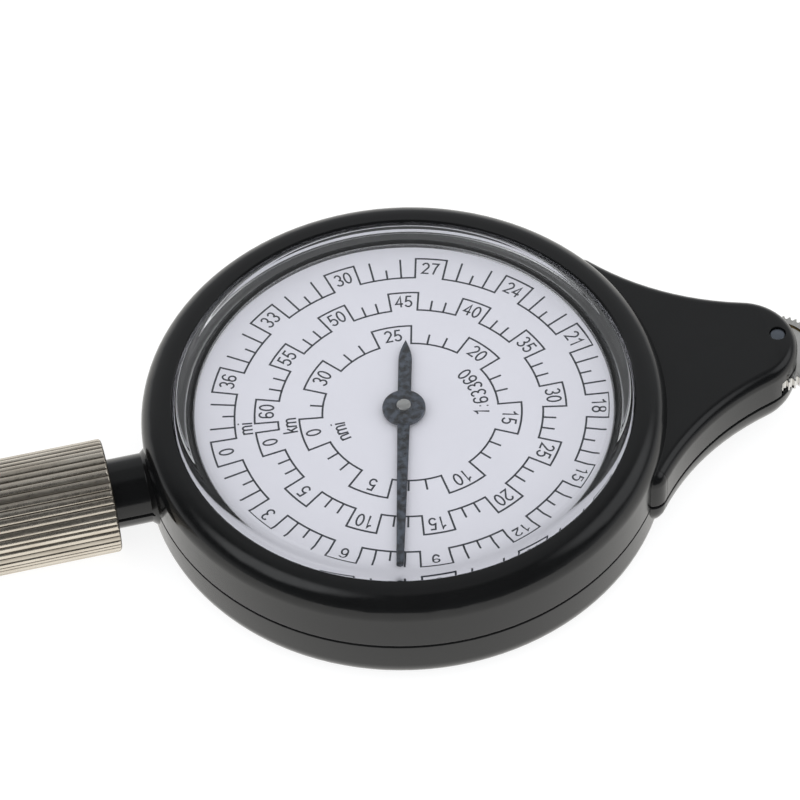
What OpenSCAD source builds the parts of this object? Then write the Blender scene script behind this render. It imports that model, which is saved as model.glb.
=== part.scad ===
// Map measurer: a toothed wheel rolls along a route, and a gear train turns
// a pointer over a round dial with three distance scales.
// It lies on the flat back of its case, dial up. X runs from the handle to
// the wheel, Z out of the dial, and the pointer turns about the Z axis.

/* [Case] */
// Radius of the round case
case_r = 22.5; // [22:0.1:26]
// Height of the ring round the dial above the flat back
case_h = 10.5; // [10.3:0.1:12]
// Height of the seam between the two shells
seam_z = 4.95; // [4.9:0.01:5.2]
// Thickness of the round side wall
wall_t = 1.8; // [1.4:0.1:2.2]
// Thickness of the back
floor_t = 1.2; // [0.9:0.1:1.3]
// Rounding of the back's rim
back_round = 2.4; // [2:0.1:3.6]
// Rounding of the ring's outer edge
ring_round = 2.1; // [1:0.1:2.4]
// Bevel of each shell along the seam
seam_bevel = 0.15; // [0.05:0.01:0.2]
// Bevel of each shell along the nose's seam
nose_bevel = 0.2; // [0.05:0.01:0.25]

/* [Nose] */
// How far the nose's end lies ahead of the pointer's axis
nose_end_x = 34.8; // [34.5:0.1:35.2]
// Radius of the nose's end, seen from above
nose_end_r = 4.85; // [4.6:0.05:5.2]
// Radius of the nose's hollow flanks
flank_r = 23.5; // [22:0.1:32]
// Place of the rounded ear where a flank meets the case, along X
ear_x = 18.75; // [18:0.05:19.2]
// Place of the ear across
ear_y = 11.8; // [10.8:0.05:12]
// Radius of the ear's corner
ear_r = 1.3; // [1.2:0.05:1.7]
// Height of the nose above the seam, and its depth below it
nose_half_h = 3.55; // [3.3:0.05:3.7]
// Rounding of the nose's upper edge
nose_top_round = 1.0; // [0.5:0.1:1.5]
// Rounding of the nose's lower edge
nose_low_round = 3.0; // [1:0.1:3.2]

/* [Dial and lens] */
// Depth of the dial below the ring
dial_drop = 3.0; // [2.9:0.05:3.2]
// Thickness of the dial plate
dial_t = 0.5; // [0.3:0.1:0.6]
// Width of the ring round the dial
ring_w = 2.8; // [2.5:0.1:3.3]
// Free space round the arbor in the dial's hole
dial_hole_gap = 0.5; // [0.3:0.05:0.6]
// Width of the ledge that carries the dial
ledge_w = 1.5; // [1:0.1:2]
// Thickness of the ledge
ledge_t = 1.1; // [0.8:0.1:1.2]
// Height of the lens's top above the ring
lens_rise = 0.05; // [0.05:0.05:0.5]
// Thickness of the lens's top
lens_t = 1.25; // [0.8:0.05:1.3]
// Thickness of the lens's skirt
lens_skirt_t = 0.95; // [0.6:0.05:1.2]
// Rounding of the lens's shoulder
lens_round = 0.7; // [0.3:0.1:1]
// Rounding of the corner inside the lens
lens_inner_round = 1.5; // [0.5:0.1:1.5]
// Gap between the lens and the ring
lens_gap = 0.1; // [0.05:0.01:0.2]
// Gap between the dial plate and the ring
dial_gap = 0.1; // [0.05:0.01:0.2]

/* [Pointer] */
// Distance of the pointer's tip from its axis
pointer_tip_r = 17.15; // [15:0.05:17.6]
// Distance of the tail's tip from the axis
pointer_tail_r = 7.5; // [5:0.1:9]
// Width of the pointer at its hub
pointer_root_w = 1.05; // [0.8:0.05:1.4]
// Width of the pointer at its tip
pointer_tip_w = 0.6; // [0.4:0.05:0.8]
// Thickness of the pointer
pointer_t = 0.25; // [0.2:0.01:0.3]
// Height of the pointer above the dial
pointer_lift = 0.35; // [0.3:0.01:0.4]
// Radius of the pointer's hub
hub_r = 1.85; // [1.5:0.05:2.2]
// Thickness of the hub
hub_t = 0.5; // [0.4:0.05:0.55]
// Direction of the pointer at rest, in degrees from +X
pointer_angle = 255.75; // [0:0.25:360]

/* [Gear train] */
// Teeth of the measuring wheel
wheel_teeth = 42; // [40:2:44]
// Teeth of the idler gear that the measuring wheel drives
idler_teeth = 60; // [60:1:61]
// Leaves of the idler's pinion
idler_leaves = 10; // [10:2:10]
// Teeth of the second gear
second_teeth = 45; // [44:1:45]
// Leaves of the second pinion
second_leaves = 9; // [9:2:9]
// Teeth of the pointer's gear
centre_teeth = 56; // [54:1:56]
// Module of the measuring wheel's teeth
wheel_module = 0.18; // [0.175:0.001:0.182]
// Module of the other gears' teeth
train_module = 0.4; // [0.395:0.001:0.402]
// Inches on the map in one turn of the pointer
inches_per_turn = 39; // [38.8:0.1:39.2]
// Thickness of the train's gears
gear_t = 0.7; // [0.5:0.05:0.8]
// Length of the leaves of a pinion
leaf_len = 1.2; // [0.9:0.05:1.25]
// Play between two teeth in mesh
tooth_play = 0.07; // [0.05:0.01:0.1]
// Radius of the train's arbors
arbor_r = 0.7; // [0.6:0.05:0.8]
// Radius of the pivots at the ends of an arbor
pivot_r = 0.4; // [0.3:0.05:0.45]
// Length of a pivot
pivot_len = 0.8; // [0.5:0.05:0.85]
// Radius of the pointer's arbor in the bush and the hub
spindle_r = 0.62; // [0.55:0.01:0.62]
// Radius of the collets that carry the gears
collet_r = 1.35; // [1.2:0.05:1.6]
// Width of the flanges on the collets and on the bush
flange_w = 0.5; // [0.4:0.05:0.6]
// Radius of the bush that the pointer's arbor turns in
bush_r = 1.3; // [1.1:0.05:1.4]
// Radius of the holes in the pointer's gear
centre_window_r = 2.2; // [1.6:0.1:2.4]
// Radius of the holes in the second gear
second_window_r = 1.7; // [1.2:0.1:1.8]
// Radius of the holes in the idler gear
idler_window_r = 1.0; // [0.6:0.1:1.2]
// Height of the pivot bosses inside the back
boss_h = 0.5; // [0.4:0.05:0.55]
// Radius of the pivot bosses
pivot_boss_r = 1.5; // [1.2:0.05:1.6]

/* [Measuring wheel] */
// Width of the measuring wheel's rim
wheel_w = 1.3; // [1.1:0.05:1.35]
// Thickness of the rim under the wheel's teeth
wheel_rim_t = 0.7; // [0.5:0.05:1]
// Depth of the hollow in each face of the wheel
wheel_dish = 0.2; // [0.1:0.05:0.3]
// Width of the wheel's bush, which keeps the wheel clear of the slot
wheel_bush_w = 1.6; // [1.5:0.05:1.6]
// Radius of the wheel's bush
wheel_bush_r = 1.35; // [1.2:0.05:1.6]
// Height of the slot for the wheel, which is cut into the upper shell
slot_h = 1.7; // [1.65:0.05:1.8]
// Gap round the wheel in its slot
slot_gap = 0.3; // [0.2:0.05:0.4]
// Radius of the axle pin
axle_r = 0.7; // [0.6:0.05:0.8]
// Depth of the axle pin's end below the nose's top
axle_sink = 0.15; // [0.05:0.05:0.25]

/* [Movement plate and screws] */
// Radius of the movement plate
plate_r = 15.2; // [15:0.1:15.2]
// Thickness of the movement plate
plate_t = 0.8; // [0.7:0.05:0.8]
// Gap between the movement plate and the dial
dial_clear = 0.5; // [0.45:0.05:0.8]
// Distance of the plate's posts from the pointer's axis
post_ring_r = 13.6; // [13.5:0.05:13.6]
// Radius of the plate's posts
post_r = 1.4; // [1.2:0.05:1.4]
// Radius of the plate screws' shanks
plate_screw_r = 0.5; // [0.4:0.05:0.6]
// Radius of the plate screws' heads
plate_screw_head_r = 0.95; // [0.8:0.05:1.1]
// Height of the plate screws' heads
plate_screw_head_t = 0.4; // [0.3:0.05:0.45]
// Distance of the case screws from the pointer's axis
case_screw_ring_r = 17.4; // [17.3:0.05:17.5]
// Direction of the case screws, in degrees to each side of +X
case_screw_angle = 55; // [52:1:57]
// Radius of the case screws' shanks
case_screw_r = 0.8; // [0.6:0.05:0.9]
// Radius of the case screws' heads
case_screw_head_r = 1.5; // [1.3:0.05:1.6]
// Height of the case screws' heads
case_screw_head_t = 0.9; // [0.7:0.05:1]
// Depth of the case screws' heads below the back
case_screw_sink = 0.5; // [0.2:0.05:0.8]
// Thickness left between the case screws' ends and the dial
case_screw_cover = 0.4; // [0.3:0.05:0.6]
// Radius of the bosses round the case screws
case_boss_r = 2.2; // [2.1:0.05:2.2]
// Width of the webs that join those bosses to the dial's ledge
boss_web_w = 3.0; // [2:0.1:3.6]

/* [Handle] */
// Radius of the neck that the handle is pressed on
neck_r = 3.0; // [2.5:0.05:3.2]
// Free length of the neck between case and handle
neck_gap = 3.3; // [2.5:0.1:6]
// Length of the neck inside the handle
neck_seat = 12; // [8:0.5:16]
// Radius of the handle tube over its ridges
handle_r = 4.95; // [4.4:0.05:4.95]
// Length of the handle tube
handle_len = 50; // [35:1:70]
// Number of ridges round the handle
ridges = 48; // [36:1:54]
// Depth of the grooves between the ridges
ridge_depth = 0.22; // [0.1:0.01:0.3]
// Bevel of the tube's ends
handle_bevel = 0.45; // [0.2:0.05:0.6]
// Radius of the tube's bore behind the neck
handle_bore_r = 3.7; // [3.3:0.05:3.9]
// Thickness of the end cap's head
cap_t = 2.0; // [1.5:0.1:3]
// Length of the end cap's plug
cap_plug_len = 5; // [3:0.5:8]
// Rounding of the end cap
cap_round = 1.4; // [0.5:0.1:1.5]

/* [Fits] */
// Radial clearance of pressed and screwed pieces
press_gap = 0.02; // [0.01:0.005:0.03]
// Radial clearance of running pivots and axles
run_gap = 0.05; // [0.03:0.005:0.08]
// End play of turning pieces
end_play = 0.05; // [0.03:0.01:0.08]
// Free space round a gear
gear_gap = 0.25; // [0.15:0.05:0.3]

/* [Hidden] */

cut = 0.5;          // overlap of a cutting shape past the face it opens
far = 200;          // larger than the whole object
round_steps = 9;    // straight pieces in a quarter of a rounding
mm_per_inch = 25.4;

// the dial's seat and the lens's opening inside the ring
bezel_r = case_r - ring_w;
dial_z = case_h - dial_drop;
seat_z = dial_z - dial_t;
ledge_r = bezel_r - ledge_w;
cavity_r = case_r - wall_t;
lens_r = bezel_r - lens_gap;
lens_top_z = case_h + lens_rise;

// the train's axes, all on the X axis, from the tooth counts
second_x = train_module * (centre_teeth + second_leaves) / 2;
idler_x = second_x + train_module * (idler_leaves + second_teeth) / 2;
wheel_x = idler_x + wheel_module * (wheel_teeth + idler_teeth) / 2;
train_ratio = idler_teeth / wheel_teeth * second_teeth / idler_leaves
    * centre_teeth / second_leaves;
wheel_r = inches_per_turn * mm_per_inch / (2 * PI * train_ratio);

// the three levels of the train, lowest first
level_gap = 0.5;    // between two levels of gears
boss_gap = 0.4;     // between a boss and the lowest gear
roof_gap = 0.3;     // between the idler gear and the roof of its pocket
pocket_gap = 0.45;  // between the second gear and the floor of the nose
leaf_lead = 0.15;   // how far a pinion's leaves start below the gear they drive
boss_top_z = floor_t + boss_h;
centre_gear_z = boss_top_z + boss_gap;
second_gear_z = centre_gear_z + gear_t + level_gap;
wheel_z = seam_z + slot_h / 2;
idler_gear_z = wheel_z - gear_t / 2;
plate_z = seat_z - dial_clear - plate_t;
pocket_roof_z = idler_gear_z + gear_t + roof_gap;

// tooth heights, in modules
gear_addendum = 0.62;
gear_dedendum = 1.05;
leaf_addendum = 0.78;
leaf_dedendum = 0.95;
wheel_dedendum = 1.1;
idler_addendum = 0.8;
pressure_angle = 20;

nose_top_z = seam_z + nose_half_h;
nose_low_z = seam_z - nose_half_h;
pocket_floor_z = second_gear_z - pocket_gap;
case_screw_seat_z = case_screw_sink + case_screw_head_t;
case_screw_end = seat_z - case_screw_cover;
post_angles = [75, 180, 285];
handle_x = -case_r - neck_gap;

black = "#202124";
nickel = "#a9a49a";
steel = "#c3c6c8";
brass = "#c4a04c";
white = "#dde1e6";
hand_blue = "#2c3542";

// ---------------------------------------------------------------- helpers

function polar(r, a) = [r * cos(a), r * sin(a)];

function arc(centre, r, a0, a1, steps) =
    [for (i = [0 : steps]) centre + polar(r, a0 + (a1 - a0) * i / steps)];

// a hole or shaft about Z between two heights
module bar(r, z0, z1) {
    translate([0, 0, z0]) cylinder(r = r, h = z1 - z0, $fn = 96);
}

// a tube about Z between two heights
module ring(r_out, r_in, z0, z1) {
    difference() {
        bar(r_out, z0, z1);
        bar(r_in, z0 - cut, z1 + cut);
    }
}

module at_posts() {
    for (a = post_angles) translate(concat(polar(post_ring_r, a), 0)) children();
}

module at_case_screws() {
    for (side = [-1, 1])
        translate(concat(polar(case_screw_ring_r, side * case_screw_angle), 0)) children();
}

// ---------------------------------------------------------------- teeth

function involute(a) = tan(a) * 180 / PI - a;

// half the angle that a tooth takes up at radius r
function tooth_half_angle(r, pitch_r, base_r, thick) =
    let (at_pitch = thick / 2 / pitch_r * 180 / PI,
         a = acos(min(1, base_r / max(r, base_r))))
    at_pitch + involute(pressure_angle) - involute(a);

// the outline of a gear with a tooth centred on angle "turn"
function gear_outline(teeth, module_size, tip_r, root_r, play, turn) =
    let (pitch_r = teeth * module_size / 2,
         base_r = pitch_r * cos(pressure_angle),
         thick = PI * module_size / 2 - play,
         low_r = max(root_r, min(base_r, tip_r)),
         mid_r = (low_r + tip_r) / 2,
         radii = [root_r, low_r, mid_r, tip_r],
         halves = [for (r = radii) tooth_half_angle(r, pitch_r, base_r, thick)])
    [for (i = [0 : teeth - 1], side = [-1, 1], k = [0 : 3])
        let (j = side < 0 ? k : 3 - k)
        polar(radii[j], turn + i * 360 / teeth + side * halves[j])];

module toothed(teeth, module_size, tip_r, root_r, turn, height) {
    linear_extrude(height = height)
        polygon(gear_outline(teeth, module_size, tip_r, root_r, tooth_play, turn));
}

// a train gear's disc with its bore, one tooth on angle "turn"
module train_gear(teeth, turn, bore_r) {
    pitch_r = teeth * train_module / 2;
    difference() {
        toothed(teeth, train_module, pitch_r + gear_addendum * train_module,
            pitch_r - gear_dedendum * train_module, turn, gear_t);
        bar(bore_r, -cut, gear_t + cut);
    }
}

// the leaves of a pinion
module leaves(count, turn) {
    pitch_r = count * train_module / 2;
    toothed(count, train_module, pitch_r + leaf_addendum * train_module,
        pitch_r - leaf_dedendum * train_module, turn, leaf_len);
}

// a gear's five lightening holes, a little nearer its rim than its collet
module gear_windows(pitch_d, hole_r) {
    count = 5;
    rim_share = 0.55;
    ring_r = (1 - rim_share) * collet_r + rim_share * pitch_d / 2;
    for (i = [0 : count - 1])
        translate(concat(polar(ring_r, (i + 0.5) * 360 / count), -cut))
            cylinder(r = hole_r, h = gear_t + 2 * cut, $fn = 48);
}

// ---------------------------------------------------------------- nose

nose_end_centre = [nose_end_x - nose_end_r, 0];
ear_centre = [ear_x, ear_y];

// the flank's arc touches the nose's end and the ear from outside
flank_from_end = flank_r + nose_end_r;
flank_from_ear = flank_r + ear_r;
end_to_ear = norm(ear_centre - nose_end_centre);
flank_along = (pow(flank_from_end, 2) - pow(flank_from_ear, 2) + pow(end_to_ear, 2))
    / (2 * end_to_ear);
flank_across = sqrt(pow(flank_from_end, 2) - pow(flank_along, 2));
to_ear = (ear_centre - nose_end_centre) / end_to_ear;
flank_centre = nose_end_centre + flank_along * to_ear
    + flank_across * [to_ear[1], -to_ear[0]];

nose_overlap = 4;   // how far the nose's body reaches back into the case
nose_root_x = ear_x - nose_overlap;

function last(list) = list[len(list) - 1];

// an upright post whose radius shrinks by the inset of each [height, inset]
module rounded_post(r, levels) {
    wall = [for (l = levels) if (l[1] < r) [r - l[1], l[0]]];
    rotate_extrude($fn = 120)
        polygon(concat([[0, wall[0][1]]], wall, [[0, last(wall)[1]]]));
}

// the space beside a hollow flank, which grows by the same insets
module flank_space(levels) {
    low = levels[0];
    high = last(levels);
    rotate_extrude($fn = 180) polygon(concat(
        [[0, low[0] - cut], [flank_r + low[1], low[0] - cut]],
        [for (l = levels) [flank_r + l[1], l[0]]],
        [[flank_r + high[1], high[0] + cut], [0, high[0] + cut]]));
}

// the nose between the first and last [height, inset], lowest first; its
// middle stops a little short of the lines where the flanks meet the posts
module nose_solid(levels) {
    fx = flank_centre[0];
    fy = flank_centre[1];
    short = 0.15;
    difference() {
        translate([0, 0, levels[0][0]])
            linear_extrude(height = last(levels)[0] - levels[0][0]) polygon([
                [nose_root_x, -ear_y + short], [ear_x + short, -ear_y + short], [fx, -fy],
                [nose_end_centre[0] - short, 0], [fx, fy],
                [ear_x + short, ear_y - short], [nose_root_x, ear_y - short]]);
        for (side = [-1, 1]) translate([fx, side * fy, 0]) flank_space(levels);
    }
    translate(concat(nose_end_centre, 0)) rounded_post(nose_end_r, levels);
    for (side = [-1, 1]) translate([ear_x, side * ear_y, 0]) rounded_post(ear_r, levels);
}

module rear_nose() {
    r = nose_low_round;
    nose_solid(concat(
        [for (i = [round_steps : -1 : 0])
            let (a = i * 90 / round_steps)
            [nose_low_z + r - r * sin(a), r - r * cos(a)]],
        [[seam_z - nose_bevel, 0], [seam_z, nose_bevel]]));
}

module front_nose() {
    r = nose_top_round;
    nose_solid(concat(
        [[seam_z, nose_bevel], [seam_z + nose_bevel, 0]],
        [for (i = [0 : round_steps])
            let (a = i * 90 / round_steps)
            [nose_top_z - r + r * sin(a), r - r * cos(a)]]));
}

// ---------------------------------------------------------------- neck

// half of the split neck, "side" 1 above the seam and -1 below it
module neck_half(side) {
    root_x = -cavity_r;
    flare = 0.35;
    difference() {
        union() {
            translate([root_x, 0, seam_z]) rotate([0, -90, 0])
                cylinder(r = neck_r, h = root_x - (handle_x - neck_seat), $fn = 96);
            translate([-case_r + flare, 0, seam_z]) rotate([0, -90, 0])
                cylinder(r1 = neck_r + 1.5 * flare, r2 = neck_r, h = 1.8 * flare, $fn = 96);
        }
        translate([-far, -far / 2, side > 0 ? seam_z - far : seam_z]) cube(far);
        for (edge = [-1, 1])
            translate([handle_x - neck_seat - cut, edge * neck_r, seam_z])
                rotate([45, 0, 0])
                    translate([0, -seam_bevel, -seam_bevel])
                        cube([-case_r - handle_x + neck_seat + cut, 2 * seam_bevel, 2 * seam_bevel]);
    }
}

// ---------------------------------------------------------------- shells

module bowl() {
    rotate_extrude($fn = 180) polygon(concat(
        [[0, 0]],
        arc([case_r - back_round, back_round], back_round, -90, 0, round_steps),
        [[case_r, seam_z - seam_bevel], [case_r - seam_bevel, seam_z], [0, seam_z]]));
}

module rim_ring() {
    bezel_bevel = 0.15;
    rotate_extrude($fn = 180) polygon(concat(
        [[ledge_r, seam_z], [case_r - seam_bevel, seam_z], [case_r, seam_z + seam_bevel]],
        arc([case_r - ring_round, case_h - ring_round], ring_round, 0, 90, round_steps),
        [[bezel_r + bezel_bevel, case_h], [bezel_r, case_h - bezel_bevel],
         [bezel_r, seat_z], [ledge_r, seat_z]]));
}

// the space that the measuring wheel turns in, above the seam
module wheel_slot() {
    translate([wheel_x, 0, 0]) bar(wheel_r + slot_gap, seam_z - cut, seam_z + slot_h);
}

module idler_pocket(z0, z1) {
    idler_tip_r = wheel_module * (idler_teeth / 2 + wheel_dedendum);
    translate([idler_x, 0, 0]) bar(idler_tip_r + gear_gap, z0, z1);
}

module axle_hole() {
    translate([wheel_x, 0, 0]) bar(axle_r + press_gap, -cut, nose_top_z + cut);
}

// joins the case screws' bosses to the ledge round the dial
module boss_webs() {
    inset = 0.15;       // how much thinner a web is than the ledge, on each side
    reach = cavity_r - cut - case_screw_ring_r;
    for (side = [-1, 1]) rotate([0, 0, side * case_screw_angle])
        translate([case_screw_ring_r, -boss_web_w / 2, seat_z - ledge_t + inset])
            cube([reach, boss_web_w, ledge_t - 2 * inset]);
}

module front_shell() color(black) {
    difference() {
        union() {
            difference() {
                union() {
                    rim_ring();
                    front_nose();
                    neck_half(1);
                }
                bar(bezel_r, seat_z, case_h + cut);
                bar(ledge_r, seam_z - cut, case_h + cut);
                bar(cavity_r, seam_z - cut, seat_z - ledge_t);
            }
            at_case_screws() bar(case_boss_r, seam_z, seat_z);
            boss_webs();
        }
        idler_pocket(seam_z - cut, pocket_roof_z);
        translate([idler_x, 0, 0])
            bar(pivot_r + run_gap, seam_z, pocket_roof_z + pivot_len + end_play);
        wheel_slot();
        axle_hole();
        at_case_screws() bar(case_screw_r + press_gap, seam_z - cut, case_screw_end + press_gap);
    }
}

module rear_shell() color(black) {
    second_tip_r = train_module * (second_teeth / 2 + gear_addendum);
    leaf_tip_r = train_module * (idler_leaves / 2 + leaf_addendum);
    difference() {
        union() {
            difference() {
                union() {
                    bowl();
                    rear_nose();
                    neck_half(-1);
                }
                bar(cavity_r, floor_t, seam_z + cut);
                translate([second_x, 0, 0])
                    bar(second_tip_r + gear_gap, second_gear_z - gear_gap, seam_z + cut);
                translate([idler_x, 0, 0])
                    bar(leaf_tip_r + gear_gap, pocket_floor_z, seam_z + cut);
            }
            for (x = [0, second_x]) translate([x, 0, 0])
                bar(pivot_boss_r, floor_t - cut, boss_top_z);
            at_posts() bar(post_r, floor_t - cut, plate_z);
            at_case_screws() bar(case_boss_r, floor_t - cut, seam_z);
        }
        for (x = [0, second_x]) translate([x, 0, 0])
            bar(pivot_r + run_gap, boss_top_z - pivot_len, boss_top_z + cut);
        translate([idler_x, 0, 0])
            bar(pivot_r + run_gap, pocket_floor_z - pivot_len, pocket_floor_z + cut);
        at_posts() bar(plate_screw_r + press_gap, floor_t + end_play, plate_z + cut);
        at_case_screws() {
            bar(case_screw_head_r + run_gap, -cut, case_screw_seat_z);
            bar(case_screw_r + run_gap, -cut, seam_z + cut);
        }
        axle_hole();
    }
}

// ---------------------------------------------------------------- dial side

// a clear cup: its skirt stands on the dial plate's rim
module lens() color("#cfdbe2", 0.35) {
    under_z = lens_top_z - lens_t;
    inner_r = lens_r - lens_skirt_t;
    rotate_extrude($fn = 180) polygon(concat(
        [[0, under_z]],
        arc([inner_r - lens_inner_round, under_z - lens_inner_round], lens_inner_round,
            90, 0, round_steps),
        [[inner_r, dial_z], [lens_r, dial_z]],
        arc([lens_r - lens_round, lens_top_z - lens_round], lens_round, 0, 90, round_steps),
        [[0, lens_top_z]]));
}

module dial_plate() color(white) {
    ring(bezel_r - dial_gap, spindle_r + dial_hole_gap, seat_z, dial_z);
}

module pointer() color(hand_blue) {
    root_h = pointer_root_w / 2;
    tip_h = pointer_tip_w / 2;
    tail_taper = 1.6;
    shoulder_r = pointer_tail_r - tail_taper;
    z0 = dial_z + pointer_lift;
    hub_bevel = 0.15;
    rotate([0, 0, pointer_angle]) difference() {
        union() {
            translate([0, 0, z0]) linear_extrude(height = pointer_t) polygon([
                [0, -root_h], [pointer_tip_r - tip_h, -tip_h], [pointer_tip_r, -tip_h / 2],
                [pointer_tip_r, tip_h / 2], [pointer_tip_r - tip_h, tip_h], [0, root_h],
                [-shoulder_r, root_h], [-shoulder_r - tail_taper / 2, root_h * 0.7],
                [-pointer_tail_r, 0], [-shoulder_r - tail_taper / 2, -root_h * 0.7],
                [-shoulder_r, -root_h]]);
            bar(hub_r, z0, z0 + hub_t - hub_bevel);
            translate([0, 0, z0 + hub_t - hub_bevel])
                cylinder(r1 = hub_r, r2 = hub_r - hub_bevel, h = hub_bevel, $fn = 96);
        }
        bar(spindle_r + press_gap, z0 - cut, z0 + hub_t + cut);
    }
}

module pointer_arbor() color(steel) {
    tip_rise = 0.25;    // how far the arbor's end stands above the hub
    shoulder_z = plate_z - end_play;
    foot_z = boss_top_z + end_play;
    bar(pivot_r, foot_z - pivot_len, foot_z);
    bar(arbor_r, foot_z, shoulder_z);
    bar(spindle_r, shoulder_z, dial_z + pointer_lift + hub_t + tip_rise);
}

// ---------------------------------------------------------------- train

// a brass hub between an arbor and a gear, with a flange under the gear
module collet(gear_z, flange_t) {
    ring(collet_r, arbor_r + press_gap, gear_z, gear_z + gear_t);
    ring(collet_r + flange_w, arbor_r + press_gap, gear_z - flange_t, gear_z);
}

module centre_collet() color(brass) {
    collet(centre_gear_z, boss_gap - leaf_lead);
}

module centre_gear() color(brass) translate([0, 0, centre_gear_z]) difference() {
    train_gear(centre_teeth, 0, collet_r + press_gap);
    gear_windows(centre_teeth * train_module, centre_window_r);
}

module centre_bush() color(brass) {
    ring(bush_r, spindle_r + run_gap, plate_z, plate_z + plate_t);
    ring(bush_r + flange_w, spindle_r + run_gap, plate_z + plate_t, seat_z - gear_gap);
}

module second_arbor() color(steel) translate([second_x, 0, 0]) {
    foot_z = boss_top_z + end_play;
    shoulder_z = plate_z - end_play;
    bar(pivot_r, foot_z - pivot_len, foot_z);
    bar(arbor_r, foot_z, shoulder_z);
    bar(pivot_r, shoulder_z, shoulder_z + pivot_len);
    translate([0, 0, centre_gear_z - leaf_lead]) leaves(second_leaves, 0);
}

// the second collet stands on the end of the pinion's leaves
module second_collet() color(brass) translate([second_x, 0, 0]) {
    leaves_end_z = centre_gear_z - leaf_lead + leaf_len;
    collet(second_gear_z, second_gear_z - leaves_end_z);
}

module second_gear() color(brass) translate([second_x, 0, second_gear_z]) difference() {
    train_gear(second_teeth, 180 / second_teeth, collet_r + press_gap);
    gear_windows(second_teeth * train_module, second_window_r);
}

module idler_arbor() color(steel) translate([idler_x, 0, 0]) {
    foot_z = pocket_floor_z + end_play;
    shoulder_z = pocket_roof_z - end_play;
    bar(pivot_r, foot_z - pivot_len, foot_z);
    bar(arbor_r, foot_z, shoulder_z);
    bar(pivot_r, shoulder_z, shoulder_z + pivot_len);
    translate([0, 0, second_gear_z - leaf_lead]) leaves(idler_leaves, 0);
}

module idler_collet() color(brass) translate([idler_x, 0, 0]) {
    leaves_end_z = second_gear_z - leaf_lead + leaf_len;
    ring(collet_r, arbor_r + press_gap, leaves_end_z, idler_gear_z + gear_t);
}

module idler_gear() color(brass) translate([idler_x, 0, idler_gear_z]) {
    pitch_r = idler_teeth * wheel_module / 2;
    difference() {
        toothed(idler_teeth, wheel_module, pitch_r + idler_addendum * wheel_module,
            pitch_r - wheel_dedendum * wheel_module, 0, gear_t);
        bar(collet_r + press_gap, -cut, gear_t + cut);
        gear_windows(idler_teeth * wheel_module, idler_window_r);
    }
}

// ---------------------------------------------------------------- wheel

module measuring_wheel() color(steel) translate([wheel_x, 0, wheel_z]) {
    pitch_r = wheel_teeth * wheel_module / 2;
    root_r = pitch_r - wheel_dedendum * wheel_module;
    rim_in_r = root_r - wheel_rim_t;
    difference() {
        translate([0, 0, -wheel_w / 2])
            toothed(wheel_teeth, wheel_module, wheel_r, root_r, 180 / wheel_teeth, wheel_w);
        bar(wheel_bush_r + press_gap, -wheel_w, wheel_w);
        for (side = [-1, 1])
            translate([0, 0, side * wheel_w / 2]) bar(rim_in_r, -wheel_dish, wheel_dish);
    }
}

module wheel_bush() color(brass) translate([wheel_x, 0, wheel_z]) {
    ring(wheel_bush_r, axle_r + run_gap, -wheel_bush_w / 2, wheel_bush_w / 2);
}

module wheel_axle() color(steel) translate([wheel_x, 0, 0]) {
    bar(axle_r, nose_low_z + 2 * axle_sink, nose_top_z - axle_sink);
}

// ---------------------------------------------------------------- fasteners

module movement_plate() color(brass) difference() {
    bar(plate_r, plate_z, plate_z + plate_t);
    bar(bush_r + press_gap, plate_z - cut, plate_z + plate_t + cut);
    translate([second_x, 0, 0]) bar(pivot_r + run_gap, plate_z - cut, plate_z + plate_t + cut);
    at_posts() bar(plate_screw_r + run_gap, plate_z - cut, plate_z + plate_t + cut);
}

// a slotted screw; its head stands above its seat, or hangs below it
module screw(shank_r, shank_end, head_r, seat, head_end) {
    slot_w = 0.3;
    slot_d = 0.25;
    slot_z = head_end > seat ? head_end - slot_d : head_end - cut;
    difference() {
        union() {
            bar(shank_r, min(seat, shank_end), max(seat, shank_end));
            bar(head_r, min(seat, head_end), max(seat, head_end));
        }
        translate([-head_r - cut, -slot_w / 2, slot_z])
            cube([2 * (head_r + cut), slot_w, slot_d + cut]);
    }
}

module plate_screws() color(steel) {
    top = plate_z + plate_t;
    at_posts() screw(plate_screw_r, floor_t + 2 * end_play, plate_screw_head_r, top,
        top + plate_screw_head_t);
}

module case_screws() color(steel) {
    at_case_screws() screw(case_screw_r, case_screw_end, case_screw_head_r,
        case_screw_seat_z, case_screw_sink);
}

// ---------------------------------------------------------------- handle

// a body of revolution about the handle's axis, x measured back from its front
module along_handle() {
    translate([handle_x, 0, seam_z]) rotate([0, -90, 0]) children();
}

module handle_tube() color(nickel) {
    crest_drop = 0.04;
    skin = 0.01;        // how far the bevelled outline lies outside the crests
    outline_r = handle_r + skin;
    ridge_points = [for (i = [0 : ridges - 1], p = [[-0.5, -ridge_depth], [-0.28, -crest_drop],
            [0, 0], [0.28, -crest_drop]])
        polar(handle_r + p[1], (i + p[0]) * 360 / ridges)];
    along_handle() difference() {
        intersection() {
            linear_extrude(height = handle_len) polygon(ridge_points);
            rotate_extrude($fn = 96) polygon([
                [0, 0], [handle_r - handle_bevel, 0], [outline_r, handle_bevel],
                [outline_r, handle_len - handle_bevel], [handle_r - handle_bevel, handle_len],
                [0, handle_len]]);
        }
        bar(neck_r + press_gap, -cut, neck_seat + cut);
        bar(handle_bore_r, neck_seat, handle_len + cut);
    }
}

module handle_end_cap() color(nickel) along_handle() {
    head_r = handle_r - handle_bevel;
    rotate_extrude($fn = 96) polygon(concat(
        [[0, handle_len - cap_plug_len], [handle_bore_r - press_gap, handle_len - cap_plug_len],
         [handle_bore_r - press_gap, handle_len], [head_r, handle_len]],
        arc([head_r - cap_round, handle_len + cap_t - cap_round], cap_round, 0, 90, round_steps),
        [[0, handle_len + cap_t]]));
}

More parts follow.
